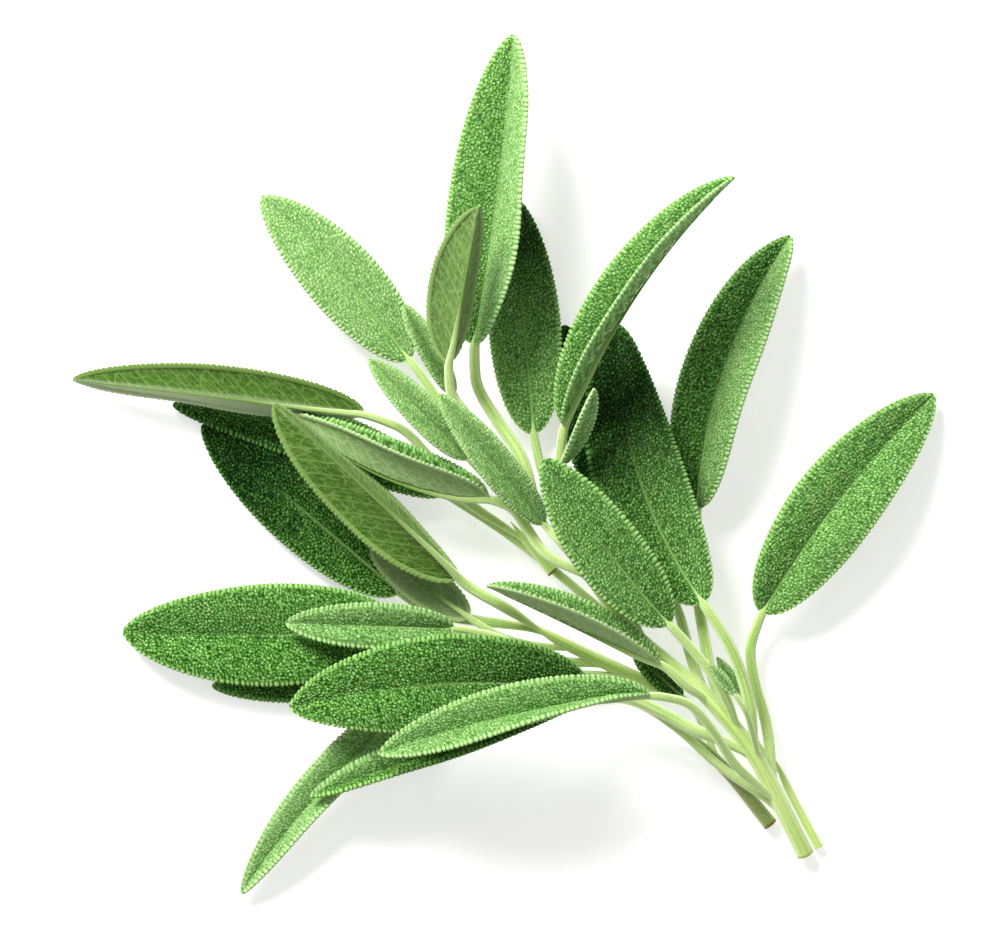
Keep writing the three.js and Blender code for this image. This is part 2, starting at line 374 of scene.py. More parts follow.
print("pebbles every", round(PEBBLE_PITCH / MM, 2), "mm")

# %% Veins of the under face
NET_PITCH = 1.9 * MM
NET_HEIGHT = 0.14 * MM
NET_DRAW, FINE_NET_DRAW = 3, 4
NET_LINE = (0.03, 0.2)
FINE_NET_LINE = (0.05, 0.35)
VEIN_LINE = (0.08 * MM, 0.36 * MM)
VEIN_SPACING = 4.2 * MM
VEIN_SLANT = 1.1
VEIN_BEND = 14
VEIN_STAGGER = 0.37
NET_PART, FINE_NET_PART, VEIN_PART = 0.75, 0.4, 0.8


def under_relief(along, across, seed):
    """A net of raised veins with a finer net inside it, and side veins that lean to the tip."""
    bent = along - VEIN_SLANT * np.abs(across) - VEIN_BEND * across**2
    _, gap, _ = cells(bent, across, NET_PITCH, seed + NET_DRAW, NET_JITTER)
    net = 1 - ease(*NET_LINE, gap)
    _, gap, _ = cells(bent, across, NET_PITCH / 2, seed + FINE_NET_DRAW, NET_JITTER)
    fine_net = 1 - ease(*FINE_NET_LINE, gap)
    side = np.where(across < 0, VEIN_STAGGER, 0.0)
    from_vein = np.abs((bent / VEIN_SPACING + side) % 1 - 0.5) * VEIN_SPACING
    vein = 1 - ease(*VEIN_LINE, from_vein)
    both_nets = np.maximum(NET_PART * net, FINE_NET_PART * fine_net)
    return np.maximum(both_nets, VEIN_PART * vein)


print("side veins every", round(VEIN_SPACING / MM, 1), "mm")


# %% Which way a sheet faces
NEVER_ZERO = 1e-12


def normals_of(sheet, ups):
    """Directions square to a grid, on the side of its upper face."""
    normals = np.cross(np.gradient(sheet, axis=0), np.gradient(sheet, axis=1))
    lengths = np.linalg.norm(normals, axis=2, keepdims=True)
    normals = normals / np.maximum(lengths, NEVER_ZERO)
    middle_row = normals[len(normals) // 2]
    return normals if np.mean(middle_row @ ups[len(ups) // 2]) > 0 else -normals


# %% Build one blade
GRID = 0.215 * MM
FEWEST_ROWS, FEWEST_COLUMNS = 12, 4
BASE_END, TIP_END = 0.002, 0.9985
THICKNESS = 0.42 * MM
EDGE_FROM, EDGE_RUN = 0.93, 0.07
CREASE_SOFTNESS = 0.0012
MIDRIB_GROOVE = 0.22 * MM
MIDRIB_HALF = 0.3 * MM
GROOVE_AT_BASE, GROOVE_FADE = 1.05, 1.6
GROOVE_SMOOTHS = 0.85
SWELL, SWELL_ROUND = 0.07, 1.2
WAVER = 0.035
SHORT_WAVE, SHORT_SHIFT = 5.2 * MM, 2.1
LONG_WAVE, LONG_SHIFT, LONG_DRAW = 8.7 * MM, 1.3, 2.7
ROLL_UNDER = 0.3 * MM
RIM_HEIGHT = 0.85
FULL_RELIEF_HALF = 3 * MM
DOWN_FILLS = 0.45
DOWN_BLEND = 0.2


def blade_grid(leaf, look, seed, fineness):
    """Upper and under places of a blade's grid, with the masks that colour them."""
    tone_and_shade_base, tone_and_shade_tip, down_and_sheen_left, down_and_sheen_right = look
    rows = 2 * max(FEWEST_ROWS, int(leaf.length / GRID / 2)) + 1
    columns = 4 * max(FEWEST_COLUMNS, int(leaf.half_width / GRID / 2)) + 1
    share = np.clip(np.linspace(0, 1, rows), BASE_END, TIP_END)
    u = np.linspace(-1, 1, columns)
    middles, lefts, rights = leaf.at(share)
    half = (leaf.half_width * outline(share))[:, None]
    grid_u, along = np.meshgrid(u, share * leaf.length)
    reach = np.abs(grid_u)
    side = np.where(grid_u < 0, 1.0, 0.0)
    across = grid_u * half
    small = np.minimum(1, half / FULL_RELIEF_HALF)

    # The rim is a band as wide as its teeth are long.
    rim = 1 - ease(RIM_INNER * fineness, RIM_OUTER * fineness, (1 - reach) * half)
    tooth = teeth(along, side, TOOTH_PITCH * fineness, seed)
    width = half - TOOTH_DEPTH * fineness * (1 - tooth) * rim * small
    soft = np.sqrt(grid_u**2 + CREASE_SOFTNESS)
    left_part = ((soft + grid_u) / 2 * width)[..., None] * lefts[:, None, :]
    right_part = ((soft - grid_u) / 2 * width)[..., None] * rights[:, None, :]
    sheet = middles[:, None, :] + left_part + right_part

    # Each half swells between midrib and margin, wavers, and rolls under at its rim.
    swell = SWELL * half * np.sin(math.pi * np.clip(reach, 0, 1)) ** SWELL_ROUND
    short = np.sin(along / SHORT_WAVE + SHORT_SHIFT * side + seed)
    long = np.sin(along / LONG_WAVE + LONG_SHIFT * side + LONG_DRAW * seed)
    waver = WAVER * half * reach**2 * short + WAVER * half * reach * long
    rolled = ROLL_UNDER * small * rim**2
    sheet = sheet + normals_of(sheet, leaf.ups) * (swell + waver - rolled)[..., None]

    # The upper face has pebbles, teeth and a groove along its midrib. Thick down fills them in.
    pebbles = upper_relief(along, across, seed, fineness)
    bumps = pebbles * (1 - rim) + RIM_HEIGHT * tooth * rim
    fading = np.clip(GROOVE_AT_BASE - GROOVE_FADE * share[:, None], 0, 1)
    groove = np.exp(-((across / (MIDRIB_HALF * fineness)) ** 2)) * fading
    bumps = bumps * (1 - GROOVE_SMOOTHS * groove)
    # How pale each half is: partly thick down, partly a painted sheen on a half that faces the
    # light.
    down = down_and_sheen_right + (down_and_sheen_left - down_and_sheen_right) * ease(-DOWN_BLEND, DOWN_BLEND, grid_u)
    height = PEBBLE_HEIGHT * fineness * bumps * (1 - DOWN_FILLS * down * (1 - rim))

    # Both faces close in a round edge.
    edge = np.sqrt(np.clip(1 - ((reach - EDGE_FROM) / EDGE_RUN).clip(0, 1) ** 2, 0, 1))
    net = under_relief(along, across, seed) * (1 - rim) + tooth * rim
    upper = THICKNESS / 2 * edge + (height - MIDRIB_GROOVE * groove) * small * edge
    under = THICKNESS / 2 * edge + NET_HEIGHT * net * small * edge
    normals = normals_of(sheet, leaf.ups)
    top = sheet + normals * upper[..., None]
    bottom = sheet - normals * under[..., None]
    # The tone is partly a deeper green and partly painted shade where other leaves shade a blade.
    masks = {
        "relief": (bumps, net),
        "rim": (rim, rim),
        "midrib": (groove, groove),
        "share": (np.broadcast_to(share[:, None], reach.shape),) * 2,
        "tone_and_shade": (tone_and_shade_base + (tone_and_shade_tip - tone_and_shade_base) * along / leaf.length,) * 2,
        "down": (down,) * 2,
    }
    return top, bottom, masks


sample, _, _ = blade_grid(leaves["leaf_at_fork"], look=(0, 0, 0, 0), seed=1, fineness=1.0)
print("leaf_at_fork's grid is", sample.shape[0], "by", sample.shape[1])

# %% [markdown]
# ## Petioles and midribs
# A petiole carries on under its blade as the midrib, getting thinner to the tip. Its foot grows
# out of the stem. A curve with a bevel could draw it, but a mesh lets every corner carry numbers
# for the finishes. So the foot, the petiole and the midrib are one long tapering tube, which
# starts inside the stem and closes the small gap that the solids need.

# %% Tubes along a row of points
def tube(points, radii, corners, shape):
    """Rings of a tube that follows points, as an array of rows by corners. shape gives how far
    out each corner stands, as a share of the radius."""
    points = np.asarray(points)
    ahead = unit(np.gradient(points, axis=0))
    side = unit(np.cross([0, 0, 1.0], ahead))
    up = np.cross(ahead, side)
    angles = np.linspace(0, 2 * math.pi, corners, endpoint=False)
    reach = np.asarray(radii)[:, None] * shape(angles)
    circle = side[:, None, :] * np.cos(angles)[:, None] + up[:, None, :] * np.sin(angles)[:, None]
    return points[:, None, :] + circle * reach[..., None]


def turn_from_top(corners):
    """How far each corner of a tube is turned from its top, from 0 to half a turn."""
    angles = np.linspace(0, 2 * math.pi, corners, endpoint=False)
    return np.abs((angles + math.pi / 2) % (2 * math.pi) - math.pi)


def tube_faces(rows, corners, first):
    """Faces of a tube whose corners start at first, with its near end and its far end last."""
    faces = []
    for row in range(rows - 1):
        for k in range(corners):
            a = first + row * corners + k
            b = first + row * corners + (k + 1) % corners
            faces.append((a, b, b + corners, a + corners))
    faces.append(tuple(first + k for k in reversed(range(corners))))
    faces.append(tuple(first + (rows - 1) * corners + k for k in range(corners)))
    return faces


print("a tube of 3 rings of 4 corners has", len(tube_faces(3, 4, 0)), "faces")

# %% The foot of a petiole
FOOT_ROWS = 18
FOOT_RUN = 9 * MM
LEAST_BURIED = 3
FOOT_PULL = 0.4


def foot_of(leaf, start, heading):
    """A curve out of the stem's middle, along the stem at first, to a start up the petiole."""
    end = leaf.stalk[0]
    apart = {name: np.linalg.norm(stem.route - end, axis=1) for name, stem in stems.items()}
    nearest = min(apart, key=lambda name: apart[name].min())
    stem = stems[nearest]
    buried = max(LEAST_BURIED, int(apart[nearest].argmin() - FOOT_RUN / stem.step))
    deep = stem.route[buried]
    growing = unit(stem.route[buried + 1] - deep)
    reach = FOOT_PULL * np.linalg.norm(start - deep)
    t = np.linspace(0, 1, FOOT_ROWS, endpoint=False)[:, None]
    curve = (1 - t) ** 3 * deep + 3 * (1 - t) ** 2 * t * (deep + growing * reach)
    return curve + 3 * (1 - t) * t**2 * (start - heading * reach) + t**3 * start


# %% The whole stalk
STALK_CORNERS = 16
STALK_ROWS = 24
STALK_GROOVE, STALK_GROOVE_TURN = 0.16, 0.5
FOOT_LEAVES = 0.35
FOOT_START, FOOT_FULL = 0.35, 0.8
RIB_ROWS = 60
RIB_SPAN = (0.02, 0.9)
RIB_TAPER, RIB_SHARE, RIB_LEAST = 2.2, 0.75, 0.08 * MM
SINKS_BY, SINKS_EVENLY_BY = 0.15, 0.2
RIB_SINKS = 0.1 * MM
JOINT_ROWS, JOINT_PASSES = 7, 4


def stalk_shape(angles):
    """Round below and grooved along the top."""
    from_top = (angles - math.pi / 2) / STALK_GROOVE_TURN
    return (1 - STALK_GROOVE * np.exp(-(from_top**2)))[None, :]


def stalk_and_midrib(leaf):
    """The route from inside the stem, up the petiole and along the midrib, with its radii and
    how far along the blade each point is."""
    share = np.linspace(FOOT_LEAVES, 1, STALK_ROWS)
    stalk = smooth_through(leaf.stalk, share)
    foot = foot_of(leaf, stalk[0], unit(stalk[1] - stalk[0]))
    stalk_radii = np.interp(share, np.linspace(0, 1, len(leaf.stalk_radii)), leaf.stalk_radii)
    widening = ease(0, FOOT_FULL, np.linspace(0, 1, FOOT_ROWS))
    foot_radii = stalk_radii[0] * (FOOT_START + (1 - FOOT_START) * widening)
    blade_share = np.linspace(*RIB_SPAN, RIB_ROWS)
    middles, _, _ = leaf.at(blade_share)
    ups = unit(smooth_through(leaf.ups, blade_share))
    rib_radii = stalk_radii[-1] * (1 - blade_share) ** RIB_TAPER * RIB_SHARE + RIB_LEAST
    sunk = rib_radii * (0.5 + 0.5 * ease(0, SINKS_BY, blade_share))
    sunk = sunk + RIB_SINKS * ease(0, SINKS_EVENLY_BY, blade_share)
    rib = middles - ups * sunk[:, None]
    route = np.vstack([foot, stalk, rib])
    radii = np.concatenate([foot_radii, stalk_radii, rib_radii])

    # The petiole runs into the midrib without a kink.
    last = FOOT_ROWS + STALK_ROWS
    joint = slice(last - JOINT_ROWS, last + JOINT_ROWS)
    before = slice(joint.start - 1, joint.stop - 1)
    after = slice(joint.start + 1, joint.stop + 1)
    for _ in range(JOINT_PASSES):
        route[joint] = (route[before] + 2 * route[joint] + route[after]) / 4
        radii[joint] = (radii[before] + 2 * radii[joint] + radii[after]) / 4
    along = np.concatenate([np.zeros(last), blade_share])
    return route, radii, along


route, radii, _ = stalk_and_midrib(leaves["leaf_top_tall"])
print("leaf_top_tall: stalk of", len(route), "rings,", round(2 * radii.max() / MM, 2), "mm at most")

# %% [markdown]
# ## Putting a leaf together
# Blade and stalk could be two objects, but a leaf grows as one, so one mesh holds both, with three
# finishes: upper face, under face and stalk. The face that is seen from above is the fine one, and
# the other has a quarter of its corners, which keeps the whole bunch light. Every corner also
# carries numbers that the finishes read, such as how high it stands in the relief, how near the
# rim it is and how far along the blade.

# %% Numbers on a mesh, and a piece made of it
def add_numbers(mesh, name, values):
    """Write one number on every corner of a mesh."""
    mesh.attributes.new(name, "FLOAT", "POINT").data.foreach_set("value", np.float32(values))


def new_piece(name, mesh):
    piece = bpy.data.objects.new(name + "_piece", mesh)
    bpy.context.scene.collection.objects.link(piece)
    return piece


# %% Faces of a blade
def upper_quads(index, facing):
    """A grid's faces, turned to face up."""
    corners = (index[:-1, :-1], index[:-1, 1:], index[1:, 1:], index[1:, :-1])
    corners = corners if facing else corners[::-1]
    return np.stack(corners, axis=-1).reshape(-1, 4).tolist()


def under_faces(upper, lower, facing):
    """Faces of a grid half as fine. Those along the rim also take in the upper rim's corners."""
    coarse = lower[::2, ::2]
    rows, columns = coarse.shape
    faces = []
    for i in range(rows - 1):
        for j in range(columns - 1):
            loop = [coarse[i, j], coarse[i, j + 1], coarse[i + 1, j + 1], coarse[i + 1, j]]
            if j == columns - 2:
                loop.insert(2, upper[2 * i + 1, -1])
            if j == 0:
                loop.append(upper[2 * i + 1, 0])
            faces.append([int(k) for k in (loop[::-1] if facing else loop)])
    return faces


def end_faces(upper, lower, facing):
    """Faces that close the blade's two ends."""
    faces = []
    for end in (0, -1):
        for j in range(0, upper.shape[1] - 1, 2):
            above, below = upper[end, j : j + 3], lower[end, j : j + 3 : 2]
            loop = list(dict.fromkeys(int(k) for k in (*above, *below[::-1])))
            faces.append(loop[::-1] if (end == 0) == facing else loop)
    return faces


# %% Make a leaf object
def make_leaf(name, finishes, look, seed, fineness, turned_over):
    """A leaf, with the numbers of its relief, tone and down written on its mesh. The tone is partly
    painted shade, and the down partly a painted sheen.
    """
    leaf = leaves[name]
    top, bottom, masks = blade_grid(leaf, look, seed, fineness)
    if turned_over:
        top, bottom = bottom, top
        masks = {mask: pair[::-1] for mask, pair in masks.items()}
    rows, columns = top.shape[:2]
    upper = np.arange(rows * columns).reshape(rows, columns)
    coarse = np.zeros((rows, columns), bool)
    coarse[::2, 2:-2:2] = True
    lower = upper.copy()
    lower[coarse] = rows * columns + np.arange(coarse.sum())
    route, radii, stalk_share = stalk_and_midrib(leaf)
    stalk = tube(route, radii, STALK_CORNERS, stalk_shape)
    places = np.vstack([top.reshape(-1, 3), bottom[coarse], stalk.reshape(-1, 3)])

    over, ahead = top[1, -1] - top[1, 0], top[2, columns // 2] - top[1, columns // 2]
    facing = (np.cross(over, ahead) @ leaf.ups[0] > 0) != turned_over
    upper_part = upper_quads(upper, facing)
    under_part = under_faces(upper, lower, facing) + end_faces(upper, lower, facing)
    stalk_part = tube_faces(len(route), STALK_CORNERS, len(places) - len(route) * STALK_CORNERS)
    mesh = bpy.data.meshes.new(name + "_fine")
    mesh.from_pydata(places.tolist(), [], upper_part + under_part + stalk_part)
    parts = [len(upper_part), len(under_part), len(stalk_part)]
    slots = np.array([1, 0, 2] if turned_over else [0, 1, 2], dtype=np.int32)
    mesh.polygons.foreach_set("material_index", np.repeat(slots, parts))
    mesh.polygons.foreach_set("use_smooth", np.ones(sum(parts), bool))

    written = {}
    for mask, (above, below) in masks.items():
        written[mask] = np.concatenate([above.ravel(), below[coarse], np.zeros(stalk.size // 3)])
    written["share"][-stalk.size // 3 :] = np.repeat(stalk_share, STALK_CORNERS)
    written["turn"] = np.zeros(len(places))
    written["turn"][-stalk.size // 3 :] = np.tile(turn_from_top(STALK_CORNERS), len(route))
    for mask, values in written.items():
        add_numbers(mesh, mask, values)
    for finish in finishes:
        mesh.materials.append(finish)
    return new_piece(name, mesh)


# %% [markdown]
# ## Finishes
# The colours could be painted on images, but those blur close up and have to be laid over every
# leaf. Here they follow the relief numbers on the mesh, which keeps pale crests on real bumps and
# dark green in real grooves. That dark green is partly painted shade, and the crests' pale partly a
# painted highlight. The finishes share four effects, so each is a node group: cloudy patches, fine
# down, long streaks, and the change of colour from a shaded groove to a highlit crest.

# %% A small kit for node trees
STRAIGHT_UP_TO, STRAIGHT_BY = 0.04045, 12.92
CURVE_SHIFT, CURVE_POWER = 0.055, 2.4


def linear(red, green, blue):
    """A colour given as 0 to 255 screen values, turned into the even values that shaders use."""
    values = []
    for part in (red, green, blue):
        part = part / 255
        curved = ((part + CURVE_SHIFT) / (1 + CURVE_SHIFT)) ** CURVE_POWER
        values.append(part / STRAIGHT_BY if part <= STRAIGHT_UP_TO else curved)
    return (*values, 1.0)


def link(tree, source, target):
    tree.links.new(source, target)


def read_number(tree, name):
    node = tree.nodes.new("ShaderNodeAttribute")
    node.attribute_name = name
    return node.outputs["Fac"]


def feed(tree, socket, value):
    """Link a socket to another one, or set it to a plain value."""
    if isinstance(value, bpy.types.NodeSocket):
        link(tree, value, socket)
    else:
        socket.default_value = value


def mix_colour(tree, factor, first, second, blend="MIX"):
    node = tree.nodes.new("ShaderNodeMix")
    node.data_type = "RGBA"
    node.blend_type = blend
    # Of a Mix node's many sockets, these are the ones for its factor and its two colours.
    for place, value in ((0, factor), (6, first), (7, second)):
        feed(tree, node.inputs[place], value)
    return node.outputs[2]


def remap(tree, value, low, high, to_low=0.0, to_high=1.0):
    node = tree.nodes.new("ShaderNodeMapRange")
    node.inputs["From Min"].default_value = low
    node.inputs["From Max"].default_value = high
    node.inputs["To Min"].default_value = to_low
    node.inputs["To Max"].default_value = to_high
    link(tree, value, node.inputs["Value"])
    return node.outputs["Result"]


def combine(tree, operation, first, second):
    node = tree.nodes.new("ShaderNodeMath")
    node.operation = operation
    feed(tree, node.inputs[0], first)
    feed(tree, node.inputs[1], second)
    return node.outputs[0]


def new_group(name, inputs, outputs):
    """A node group with named sockets, and its two end nodes."""
    group = bpy.data.node_groups.new(name, "ShaderNodeTree")
    for label, kind, default in inputs:
        socket = group.interface.new_socket(label, in_out="INPUT", socket_type=kind)
        socket.default_value = default
    for label, kind in outputs:
        group.interface.new_socket(label, in_out="OUTPUT", socket_type=kind)
    return group, group.nodes.new("NodeGroupInput"), group.nodes.new("NodeGroupOutput")


def place_group(tree, group, **values):
    node = tree.nodes.new("ShaderNodeGroup")
    node.node_tree = group
    for label, value in values.items():
        feed(tree, node.inputs[label], value)
    return node


print("white is", linear(255, 255, 255))


# %% Group: cloudy patches
FLOAT, COLOUR = "NodeSocketFloat", "NodeSocketColor"
patches, start, end = new_group(
    "Cloudy patches",
    [("Scale", FLOAT, 120.0), ("Contrast", FLOAT, 1.0)],
    [("Mask", FLOAT)],
)
spots = patches.nodes.new("ShaderNodeTexCoord")
noise = patches.nodes.new("ShaderNodeTexNoise")
noise.inputs["Detail"].default_value = 3.0
link(patches, spots.outputs["Object"], noise.inputs["Vector"])
link(patches, start.outputs["Scale"], noise.inputs["Scale"])
centred = combine(patches, "SUBTRACT", noise.outputs["Fac"], 0.5)
stretched = combine(patches, "MULTIPLY", centred, start.outputs["Contrast"])
link(patches, combine(patches, "ADD", stretched, 0.5), end.inputs["Mask"])
print(patches.name, "has", len(patches.nodes), "nodes")

# %% Group: fine down
down, start, end = new_group(
    "Fine down",
    [("Fineness", FLOAT, 2600.0), ("Amount", FLOAT, 0.5)],
    [("Mask", FLOAT), ("Height", FLOAT)],
)
spots = down.nodes.new("ShaderNodeTexCoord")
fluff = down.nodes.new("ShaderNodeTexNoise")
fluff.inputs["Detail"].default_value = 4.0
fluff.inputs["Roughness"].default_value = 0.65
link(down, spots.outputs["Object"], fluff.inputs["Vector"])
link(down, start.outputs["Fineness"], fluff.inputs["Scale"])
speck = remap(down, fluff.outputs["Fac"], 0.42, 0.68)
link(down, combine(down, "MULTIPLY", speck, start.outputs["Amount"]), end.inputs["Mask"])
link(down, fluff.outputs["Fac"], end.inputs["Height"])
print(down.name, "has", len(down.nodes), "nodes")

# %% Group: long streaks
streaks, start, end = new_group(
    "Long streaks",
    [("Turn", FLOAT, 0.0), ("Count", FLOAT, 3.5)],
    [("Mask", FLOAT)],
)
STREAK_STRETCH = 70.0
spots = streaks.nodes.new("ShaderNodeTexCoord")
drawn = streaks.nodes.new("ShaderNodeVectorMath")
drawn.operation = "SCALE"
drawn.inputs["Scale"].default_value = STREAK_STRETCH
noise = streaks.nodes.new("ShaderNodeTexNoise")
noise.noise_dimensions = "4D"
noise.inputs["Scale"].default_value = 1.0
noise.inputs["Detail"].default_value = 3.0
link(streaks, spots.outputs["Object"], drawn.inputs[0])
link(streaks, drawn.outputs["Vector"], noise.inputs["Vector"])
turned = combine(streaks, "MULTIPLY", start.outputs["Turn"], start.outputs["Count"])
link(streaks, turned, noise.inputs["W"])
link(streaks, remap(streaks, noise.outputs["Fac"], 0.38, 0.64), end.inputs["Mask"])
print(streaks.name, "has", len(streaks.nodes), "nodes")

# %% Group: groove to crest
BLACK = (0, 0, 0, 1)
crest, start, end = new_group(
    "Groove shade to crest highlight",
    [("Relief", FLOAT, 0.5), *((part, COLOUR, BLACK) for part in ("Groove", "Body", "Crest"))],
    [("Colour", COLOUR)],
)
# Grooves take a dark green that is partly painted shade, and crests a pale that is partly a painted
# highlight.
low_part = remap(crest, start.outputs["Relief"], 0.1, 0.46)
high_part = remap(crest, start.outputs["Relief"], 0.46, 0.92)
lower_half = mix_colour(crest, low_part, start.outputs["Groove"], start.outputs["Body"])
whole = mix_colour(crest, high_part, lower_half, start.outputs["Crest"])
link(crest, whole, end.inputs["Colour"])
print("groups:", [group.name for group in bpy.data.node_groups])


# %% [markdown]
# ### The upper face
# Sage's upper face is a mid green under a coat of short white hairs. The hairs stand thickest on
# the crests and the rim, which look grey-green, and thin out in the grooves, which look deep
# green. The grooves' deep green is also partly painted shade, and the crests carry a painted
# highlight. Real hairs could be grown by the thousand, but at this size they would only blur, so
# a fine grain and a little sheen on the shader stand in for them.

# %% Parts of every finish
SOFT_SPECULAR = 0.06
SHEEN_ROUGHNESS = 0.45


def new_finish(name):
    finish = bpy.data.materials.new(name)
    finish.use_nodes = True
    tree = finish.node_tree
    return finish, tree, tree.nodes["Principled BSDF"]


def soft_coat(shader, roughness, sheen, tint):
    shader.inputs["Roughness"].default_value = roughness
    shader.inputs["Specular IOR Level"].default_value = SOFT_SPECULAR
    shader.inputs["Sheen Weight"].default_value = sheen
    shader.inputs["Sheen Roughness"].default_value = SHEEN_ROUGHNESS
    shader.inputs["Sheen Tint"].default_value = tint


def add_bump(tree, shader, height, strength, distance):
    node = tree.nodes.new("ShaderNodeBump")
    node.inputs["Strength"].default_value = strength
    node.inputs["Distance"].default_value = distance
    link(tree, height, node.inputs["Height"])
    link(tree, node.outputs["Normal"], shader.inputs["Normal"])


# %% Upper face
SHADED = (0.62, 0.7, 0.55, 1)
RIB_SHOWS = 0.85


def upper_finish(name, light, dark, downy, rib, sheen):
    """An upper face. light, dark and downy each give groove, body and crest colours. dark is partly
    a deeper green and partly painted shade, and downy partly thick down and partly a painted sheen.
    """
    finish, tree, shader = new_finish(name)
    relief = read_number(tree, "relief")
    coloured = []
    for groove, body, top in (light, dark, downy):
        node = place_group(tree, crest, Relief=relief, Groove=groove, Body=body, Crest=top)
        coloured.append(node.outputs["Colour"])
    # Towards a dark tone the colours turn to the dark set: a deeper green with painted shade.
    colour = mix_colour(tree, read_number(tree, "tone_and_shade"), coloured[0], coloured[1])
    clouds = place_group(tree, patches, Scale=170.0, Contrast=2.2).outputs["Mask"]

    # Down and its painted sheen lie in patches, and thin out where the tone is dark with deep green
    # and painted shade.
    thins = remap(tree, read_number(tree, "tone_and_shade"), 0.0, 1.0, 1.0, 0.12)
    patchy = remap(tree, clouds, 0.0, 1.0, 0.6, 1.25)
    hair_and_sheen = combine(tree, "MULTIPLY", read_number(tree, "down"), patchy)
    colour = mix_colour(tree, combine(tree, "MULTIPLY", hair_and_sheen, thins), colour, coloured[2])
    shade = remap(tree, clouds, 0.2, 0.9, 0.0, 0.45)
    colour = mix_colour(tree, shade, colour, SHADED, "MULTIPLY")

    # Single hairs show as pale specks, most of them on the crests.
    fluff_here = place_group(tree, down, Fineness=3400.0, Amount=0.42)
    on_crests = remap(tree, relief, 0.1, 0.7, 0.1, 1.0)
    hair_and_sheen = combine(tree, "MULTIPLY", fluff_here.outputs["Mask"], on_crests)
    colour = mix_colour(tree, combine(tree, "MULTIPLY", hair_and_sheen, thins), colour, downy[2])
    rib_here = combine(tree, "MULTIPLY", read_number(tree, "midrib"), RIB_SHOWS)
    colour = mix_colour(tree, rib_here, colour, rib)
    link(tree, colour, shader.inputs["Base Color"])
    add_bump(tree, shader, fluff_here.outputs["Height"], strength=0.7, distance=0.2 * MM)
    soft_coat(shader, roughness=0.7, sheen=sheen, tint=(0.5, 0.8, 0.36, 1))
    return finish


# Each set gives groove, body and crest. The dark set is partly a deeper green and partly painted
# shade, and the downy set partly thick down and partly a painted sheen.
LIGHT_GREEN = (linear(8, 62, 0), linear(76, 146, 32), linear(180, 226, 134))
DARK_AND_SHADED_GREEN = (linear(0, 18, 0), linear(6, 48, 0), linear(70, 130, 44))
DOWNY_AND_SHEEN_GREEN = (linear(100, 148, 74), linear(142, 184, 112), linear(196, 226, 166))
YOUNG_GREEN = (linear(92, 136, 62), linear(138, 174, 106), linear(192, 218, 160))
upper_green = upper_finish(
    "Upper face", LIGHT_GREEN, DARK_AND_SHADED_GREEN, DOWNY_AND_SHEEN_GREEN, rib=linear(168, 208, 122), sheen=0.05
)
upper_young = upper_finish(
    "Young face", YOUNG_GREEN, LIGHT_GREEN, DOWNY_AND_SHEEN_GREEN, rib=linear(180, 208, 140), sheen=0.08
)
print("upper faces:", upper_green.name, "and", upper_young.name)

# %% [markdown]
# ### The under face
# Underneath, the leaf is duller and more yellow, and its veins stand out pale. The hairs lie flat
# there, so it has less contrast than the upper face. The upper face's finish with other colours
# would put pebbles where there are veins, so the under face has a finish of its own.

# %% Under face
DEEPENED_AND_SHADED = (0.5, 0.56, 0.4, 1)
RIM_SHOWS = 0.55
DOWN_AND_SHEEN_SHOWS = 0.7


def under_finish(name, body, shade, vein, pale, sheen):
    """An under face. pale is the colour of the down where it lies thick, and of the painted sheen
    that is laid on with it.
    """
    finish, tree, shader = new_finish(name)
    clouds = place_group(tree, patches, Scale=220.0, Contrast=1.8)
    colour = mix_colour(tree, clouds.outputs["Mask"], body, shade)
    veins = remap(tree, read_number(tree, "relief"), 0.1, 1.0, 0.0, 0.7)
    colour = mix_colour(tree, veins, colour, vein)
    rim = combine(tree, "MULTIPLY", read_number(tree, "rim"), RIM_SHOWS)
    colour = mix_colour(tree, rim, colour, vein)
    # A dark tone darkens the colour: partly a deeper olive, partly painted shade.
    colour = mix_colour(tree, read_number(tree, "tone_and_shade"), colour, DEEPENED_AND_SHADED, "MULTIPLY")
    # Down turns the colour pale, together with a painted sheen on a half that faces the light.
    hair_and_sheen = combine(tree, "MULTIPLY", read_number(tree, "down"), DOWN_AND_SHEEN_SHOWS)
    colour = mix_colour(tree, hair_and_sheen, colour, pale)
    fluff_here = place_group(tree, down, Fineness=3600.0, Amount=0.18)
    colour = mix_colour(tree, fluff_here.outputs["Mask"], colour, vein)
    link(tree, colour, shader.inputs["Base Color"])
    add_bump(tree, shader, fluff_here.outputs["Height"], strength=0.3, distance=0.1 * MM)
    soft_coat(shader, roughness=0.75, sheen=sheen, tint=(0.7, 0.85, 0.5, 1))
    return finish


under_olive = under_finish(
    "Under face",
    body=linear(76, 114, 34),
    shade=linear(46, 84, 10),
    vein=linear(138, 170, 96),
    pale=linear(190, 206, 166),
    sheen=0.04,
)
under_pale = under_finish(
    "Downy under face",
    body=linear(128, 162, 94),
    shade=linear(100, 138, 66),
    vein=linear(184, 210, 150),
    pale=linear(190, 212, 162),
    sheen=0.06,
)
print("under faces:", under_olive.name, "and", under_pale.name)

# %% [markdown]
# ### Stalks and stems
# Petioles and stems are pale lime green with long streaks, under a coat of short white hairs.
# Their flanks and underside are painted nearly white, a painted sheen of the hairs seen edge-on.
# Fresnel could whiten the flanks, but then the white would slide as the camera moves, so the colour
# follows each corner's turn from the top of its tube. The cut ends are bare: yellow when fresh and
# brown once dried.

